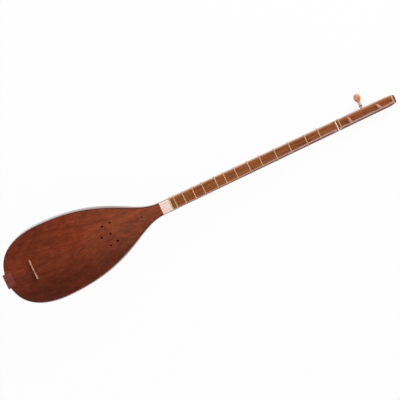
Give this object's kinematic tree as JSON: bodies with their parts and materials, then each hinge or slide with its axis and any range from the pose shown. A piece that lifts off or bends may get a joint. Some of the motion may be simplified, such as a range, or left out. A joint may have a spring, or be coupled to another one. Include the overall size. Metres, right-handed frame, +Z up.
{
  "type": "tanbur",
  "caption": "Long-necked lute with a ribbed pear-shaped bowl, tied gut frets, turning friction pegs, wire strings, movable bridge and pierced soundboard.",
  "frame": {"origin": "centre of the bounding box's footprint, on the floor that the bowl's back and the head's back rest on", "axes": "+X from the bowl's tail to the head, level; +Z up, the strings' side; +Y to the player's upper side, where the side peg stands out"},
  "size_m": [0.7962, 0.1478, 0.107],
  "materials": {
    "block_wood": "bare inner wood",
    "board_wood": "thin red-brown varnished wood, satin",
    "bone": "bone, polished",
    "bronze_wire": "bronze-wound wire",
    "dark_wood": "dark stained wood, satin",
    "gut": "natural gut, waxed",
    "holder_wood": "weathered brown hardwood",
    "neck_wood": "orange-brown varnished wood, satin",
    "pale_wood": "pale bare hardwood",
    "peg_wood": "orange fruitwood, satin",
    "rib_wood": "dark reddish varnished wood, satin",
    "rib_wood_light": "paler reddish varnished wood, satin",
    "steel_wire": "plain drawn steel wire"
  },
  "bodies": {
    "instrument": {"bowl_rib_1": "rib_wood", "bowl_rib_2": "rib_wood_light", "bowl_rib_3": "rib_wood", "bowl_rib_4": "rib_wood_light", "bowl_rib_5": "rib_wood", "bowl_rib_6": "rib_wood_light", "bowl_rib_7": "rib_wood", "bowl_rib_8": "rib_wood_light", "bowl_rib_9": "rib_wood", "head_cap": "dark_wood", "head_strip": "pale_wood", "joint_plate": "bone", "neck": "neck_wood", "neck_block": "block_wood", "nut": "bone", "nut_tie": "gut", "soundboard": "board_wood", "string_bass": "bronze_wire", "string_holder": "holder_wood", "string_treble_1": "steel_wire", "string_treble_2": "steel_wire", "tail_block": "block_wood"},
    "front_peg_1": {"front_peg_1": "peg_wood"},
    "front_peg_2": {"front_peg_2": "peg_wood"},
    "side_peg": {"side_peg": "peg_wood"},
    "bridge": {"bridge": "pale_wood"},
    "fret_01": {"fret_01": "gut"},
    "fret_02": {"fret_02": "gut"},
    "fret_03": {"fret_03": "gut"},
    "fret_04": {"fret_04": "gut"},
    "fret_05": {"fret_05": "gut"},
    "fret_06": {"fret_06": "gut"},
    "fret_07": {"fret_07": "gut"},
    "fret_08": {"fret_08": "gut"},
    "fret_09": {"fret_09": "gut"},
    "fret_10": {"fret_10": "gut"},
    "fret_11": {"fret_11": "gut"},
    "fret_12": {"fret_12": "gut"},
    "fret_13": {"fret_13": "gut"},
    "fret_14": {"fret_14": "gut"}
  },
  "joints": [
    {"name": "front_peg_1_turn", "type": "hinge", "parent": "instrument", "child": "front_peg_1", "pos_m": [0.30417, 0.0006, 0.02834], "axis": [0.1054, 0, 0.9944], "continuous": true},
    {"name": "front_peg_2_turn", "type": "hinge", "parent": "instrument", "child": "front_peg_2", "pos_m": [0.36294, 0.0006, 0.02211], "axis": [0.1054, 0, 0.9944], "continuous": true},
    {"name": "side_peg_turn", "type": "hinge", "parent": "instrument", "child": "side_peg", "pos_m": [0.33414, 0.0103, 0.01611], "axis": [0, 1, 0], "continuous": true},
    {"name": "bridge_shift", "type": "slide", "parent": "instrument", "child": "bridge", "axis": [0.9944, 0, -0.1054], "range_m": [-0.0005, 0.005]},
    {"name": "fret_01_shift", "type": "slide", "parent": "instrument", "child": "fret_01", "axis": [0.9944, 0, -0.1054], "range_m": [-0.0025, 0.0025]},
    {"name": "fret_02_shift", "type": "slide", "parent": "instrument", "child": "fret_02", "axis": [0.9944, 0, -0.1054], "range_m": [-0.0025, 0.0025]},
    {"name": "fret_03_shift", "type": "slide", "parent": "instrument", "child": "fret_03", "axis": [0.9944, 0, -0.1054], "range_m": [-0.0025, 0.0025]},
    {"name": "fret_04_shift", "type": "slide", "parent": "instrument", "child": "fret_04", "axis": [0.9944, 0, -0.1054], "range_m": [-0.0025, 0.0025]},
    {"name": "fret_05_shift", "type": "slide", "parent": "instrument", "child": "fret_05", "axis": [0.9944, 0, -0.1054], "range_m": [-0.0025, 0.0025]},
    {"name": "fret_06_shift", "type": "slide", "parent": "instrument", "child": "fret_06", "axis": [0.9944, 0, -0.1054], "range_m": [-0.0025, 0.0025]},
    {"name": "fret_07_shift", "type": "slide", "parent": "instrument", "child": "fret_07", "axis": [0.9944, 0, -0.1054], "range_m": [-0.0025, 0.0025]},
    {"name": "fret_08_shift", "type": "slide", "parent": "instrument", "child": "fret_08", "axis": [0.9944, 0, -0.1054], "range_m": [-0.0025, 0.0025]},
    {"name": "fret_09_shift", "type": "slide", "parent": "instrument", "child": "fret_09", "axis": [0.9944, 0, -0.1054], "range_m": [-0.0025, 0.0025]},
    {"name": "fret_10_shift", "type": "slide", "parent": "instrument", "child": "fret_10", "axis": [0.9944, 0, -0.1054], "range_m": [-0.0025, 0.0025]},
    {"name": "fret_11_shift", "type": "slide", "parent": "instrument", "child": "fret_11", "axis": [0.9944, 0, -0.1054], "range_m": [-0.0025, 0.0025]},
    {"name": "fret_12_shift", "type": "slide", "parent": "instrument", "child": "fret_12", "axis": [0.9944, 0, -0.1054], "range_m": [-0.0025, 0.0025]},
    {"name": "fret_13_shift", "type": "slide", "parent": "instrument", "child": "fret_13", "axis": [0.9944, 0, -0.1054], "range_m": [-0.0025, 0.0025]},
    {"name": "fret_14_shift", "type": "slide", "parent": "instrument", "child": "fret_14", "axis": [0.9944, 0, -0.1054], "range_m": [-0.0025, 0.0025]}
  ]
}
